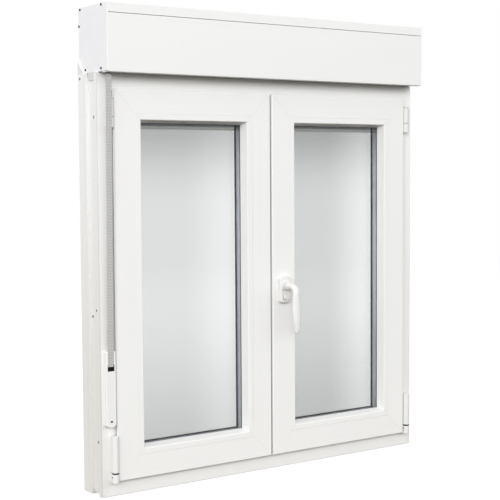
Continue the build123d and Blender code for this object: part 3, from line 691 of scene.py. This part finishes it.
# Handle: a die-cast lever on a rosette, all powder coated white, with a lock button in the rosette.
# The lever is one casting that swells at the grip and thins to its tip.
LACQUER_WHITE = (0.795, 0.795, 0.783, 1)
LACQUER_SHADE = (0.77, 0.77, 0.758, 1)
LOCK_X, LOCK_Z = 0.037, 0.4575
LOCK_R = 0.008
LOCK_GAP = (0.16, 0.16, 0.155, 1)
LOCK_GAP_W, LOCK_GAP_FADED = 0.0006, 0.0012


def powder_coat(name):
    """A new white powder coat: its material, shader, place, colour and orange peel."""
    material, shader, place = new_finish(name)
    peel = place.noise((450, 450, 450))
    white = place.noise((25, 25, 25)).rise(0.35, 0.75).between(LACQUER_WHITE, LACQUER_SHADE)
    (0.46 + 0.1 * peel).feed(shader, "Roughness")
    shader.inputs["Specular IOR Level"].default_value = 0.35
    return material, shader, place, white, peel


lacquer, shader, place, white, peel = powder_coat("handle_lacquer")
white.feed(shader, "Base Color")
peel.bump(depth=0.0002, strength=0.08).feed(shader, "Normal")
dress(lacquer, "handle_lock", "handle_lever")

rosette_lacquer, shader, place, white, peel = powder_coat("rosette_lacquer")
aside = place.along(0) - LOCK_X
above = place.along(2) - LOCK_Z
squared = aside * aside + above * above
from_lock = squared.math("SQRT", squared)
past_gap = from_lock.rise(LOCK_R + LOCK_GAP_W, LOCK_R + LOCK_GAP_FADED)
gap = (from_lock > LOCK_R) * (1 - past_gap)
gap.between(white, LOCK_GAP).feed(shader, "Base Color")
(peel - 4 * gap).bump(depth=0.0002, strength=0.08).feed(shader, "Normal")
dress(rosette_lacquer, "handle_rosette")

LEVER_X, LEVER_Z = 0.037, 0.4865
LEVER_FOOT_Y = -0.0378
LEVER_BEND_Y = -0.0625
LEVER_BEND_R = 0.016
LEVER_HUB_R = 0.011
LEVER_NECK = (0.021, 0.015)
LEVER_SIDES = 16
NECK_STEPS, BEND_STEPS = 3, 5
MERGE_GAP = 0.00001
# Down the grip: drop from the hub, lean toward the room, width and thickness.
LEVER_GRIP = ((0.034, 0.0007, 0.0240, 0.0145), (0.050, 0.0013, 0.0258, 0.0142),
              (0.066, 0.0019, 0.0266, 0.0138), (0.082, 0.0025, 0.0252, 0.0130),
              (0.096, 0.0030, 0.0216, 0.0116), (0.108, 0.0035, 0.0172, 0.0098),
              (0.116, 0.0038, 0.0128, 0.0078), (0.1208, 0.0039, 0.0088, 0.0058))

only()
bpy.ops.mesh.primitive_circle_add(vertices=LEVER_SIDES, radius=LEVER_HUB_R, fill_type="NGON",
                                  location=(LEVER_X, LEVER_FOOT_Y, LEVER_Z),
                                  rotation=(math.pi / 2, 0, 0))
lever = bpy.context.active_object
bpy.ops.object.transform_apply(location=True, rotation=True, scale=True)
edit("FACE")
bpy.ops.mesh.select_all(action="SELECT")
shift = (0, (LEVER_BEND_Y - LEVER_FOOT_Y) / NECK_STEPS, 0)
for step in range(NECK_STEPS):
    bpy.ops.mesh.extrude_region_move(TRANSFORM_OT_translate={"value": shift})
narrow = (LEVER_NECK[0] / (2 * LEVER_HUB_R), 1, LEVER_NECK[1] / (2 * LEVER_HUB_R))
bpy.ops.transform.resize(value=narrow, center_override=(LEVER_X, LEVER_BEND_Y, LEVER_Z))
bend_middle = (LEVER_X, LEVER_BEND_Y, LEVER_Z - LEVER_BEND_R)
bpy.ops.mesh.spin(steps=BEND_STEPS, angle=-math.pi / 2, center=bend_middle, axis=(1, 0, 0))
grip_y = LEVER_BEND_Y - LEVER_BEND_R
drop, lean, width, thick = LEVER_BEND_R, 0, *LEVER_NECK
for next_drop, next_lean, next_width, next_thick in LEVER_GRIP:
    shift = (0, lean - next_lean, drop - next_drop)
    bpy.ops.mesh.extrude_region_move(TRANSFORM_OT_translate={"value": shift})
    middle = (LEVER_X, grip_y - next_lean, LEVER_Z - next_drop)
    swell = (next_width / width, next_thick / thick, 1)
    bpy.ops.transform.resize(value=swell, center_override=middle)
    drop, lean, width, thick = next_drop, next_lean, next_width, next_thick
bpy.ops.mesh.select_all(action="SELECT")
bpy.ops.mesh.remove_doubles(threshold=MERGE_GAP)
bpy.ops.mesh.normals_make_consistent(inside=False)
bpy.ops.object.mode_set(mode="OBJECT")
round_off = lever.modifiers.new("round", "SUBSURF")
round_off.levels = round_off.render_levels = 2
bpy.ops.object.modifier_apply(modifier=round_off.name)
settle("lever_casting", lacquer)
bpy.ops.object.shade_smooth()
fit(lever, "handle")
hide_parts("handle_lever")


# Studio: a pale floor, a white surround, and four broad soft lamps in an arc from the left to the
# right front. Floor and surround are white to the camera and through glass, grey to reflections,
# and the light that the floor bounces is dim and warm.
FLOOR_PALE = (0.45, 0.45, 0.44, 1)
FLOOR_BOUNCE_NEAR = (0.12, 0.096, 0.073, 1)
FLOOR_BOUNCE_FAR = (0.045, 0.036, 0.027, 1)
FLOOR_GLOW_NEAR = (0.73, 0.73, 0.73, 1)
FLOOR_GLOW_FAR = (1, 1, 1, 1)
SURROUND_LIGHT = 0.70
MIRRORED = (0.55, 0.55, 0.55, 1)
BLACK, WHITE = (0, 0, 0, 1), (1, 1, 1, 1)
FLOOR_SIZE = 60
BOUNCE_NEAR, BOUNCE_FAR = 0.4, 1.6
PALE_TO, GLOW_FROM = 1.5, 8.0
LAMP_AIM_Z = 0.65
LAMP_REACH = 12.0
LAMP_ELEVATION = math.radians(17)
LAMP_W, LAMP_H = 8.3, 4.3
LAMPS = (("left_lamp", -80, 400), ("left_front_lamp", -40, 670),
         ("front_lamp", 0, 265), ("right_front_lamp", 40, 205))
CAMERA_PLACE = (-1.8615, -2.5810, 0.7915)
CAMERA_PAN, CAMERA_TILT, CAMERA_ROLL = -35.0, 90 - 3.78, -0.36
CAMERA_LENS, CAMERA_SENSOR = 87.33, 36

only()
for pattern in (screw, bush, washer, pin):
    bpy.data.objects.remove(pattern)
bpy.ops.mesh.primitive_plane_add(size=FLOOR_SIZE)
floor_paint, shader, place = new_finish("floor_paint")
rays = Wire(floor_paint.node_tree)


def seen(wires):
    """1 on rays from the camera or through glass, and 0 on other rays."""
    direct = wires.node("LightPath", {}, {}, "Is Camera Ray")
    through = wires.node("LightPath", {}, {}, "Is Transmission Ray")
    return direct.math("MAXIMUM", direct, through)


reach = place.node("VectorMath", {"operation": "LENGTH"}, {0: place}, "Value")
bounce = reach.rise(BOUNCE_NEAR, BOUNCE_FAR).between(FLOOR_BOUNCE_NEAR, FLOOR_BOUNCE_FAR)
pale = reach.rise(PALE_TO, GLOW_FROM).between(FLOOR_PALE, BLACK)
seen(rays).between(bounce, pale).feed(shader, "Base Color")
glow = reach.rise(PALE_TO, GLOW_FROM).between(FLOOR_GLOW_NEAR, FLOOR_GLOW_FAR)
mirrored = rays.node("LightPath", {}, {}, "Is Glossy Ray")
unseen = mirrored.between(BLACK, MIRRORED)
seen(rays).between(unseen, glow).feed(shader, "Emission Color")
shader.inputs["Emission Strength"].default_value = 1
shader.inputs["Roughness"].default_value = 0.9
shader.inputs["Specular IOR Level"].default_value = 0.0
settle("floor", floor_paint)

world = bpy.data.worlds.new("surround")
bpy.context.scene.world = world
world.use_nodes = True
surround = Wire(world.node_tree)
mirrored = surround.node("LightPath", {}, {}, "Is Glossy Ray")
soft = mirrored.between((SURROUND_LIGHT, SURROUND_LIGHT, SURROUND_LIGHT, 1), MIRRORED)
seen(surround).between(soft, WHITE).feed(world.node_tree.nodes["Background"], "Color")

out = LAMP_REACH * math.cos(LAMP_ELEVATION)
height = LAMP_AIM_Z + LAMP_REACH * math.sin(LAMP_ELEVATION)
for name, azimuth, power in LAMPS:
    turn = math.radians(azimuth)
    only()
    bpy.ops.object.light_add(type="AREA",
                             location=(out * math.sin(turn), -out * math.cos(turn), height),
                             rotation=(math.pi / 2 - LAMP_ELEVATION, 0, turn))
    light = bpy.context.active_object
    light.name = name
    light.data.shape = "RECTANGLE"
    light.data.size = LAMP_W
    light.data.size_y = LAMP_H
    light.data.energy = power

bpy.ops.object.camera_add(location=CAMERA_PLACE)
camera = bpy.context.active_object
pan = Matrix.Rotation(math.radians(CAMERA_PAN), 4, "Z")
tilt = Matrix.Rotation(math.radians(CAMERA_TILT), 4, "X")
roll = Matrix.Rotation(math.radians(CAMERA_ROLL), 4, "Z")
camera.rotation_euler = (pan @ tilt @ roll).to_euler()
camera.data.lens = CAMERA_LENS
camera.data.sensor_width = CAMERA_SENSOR
bpy.context.scene.camera = camera
bpy.context.scene.view_settings.view_transform = "Standard"
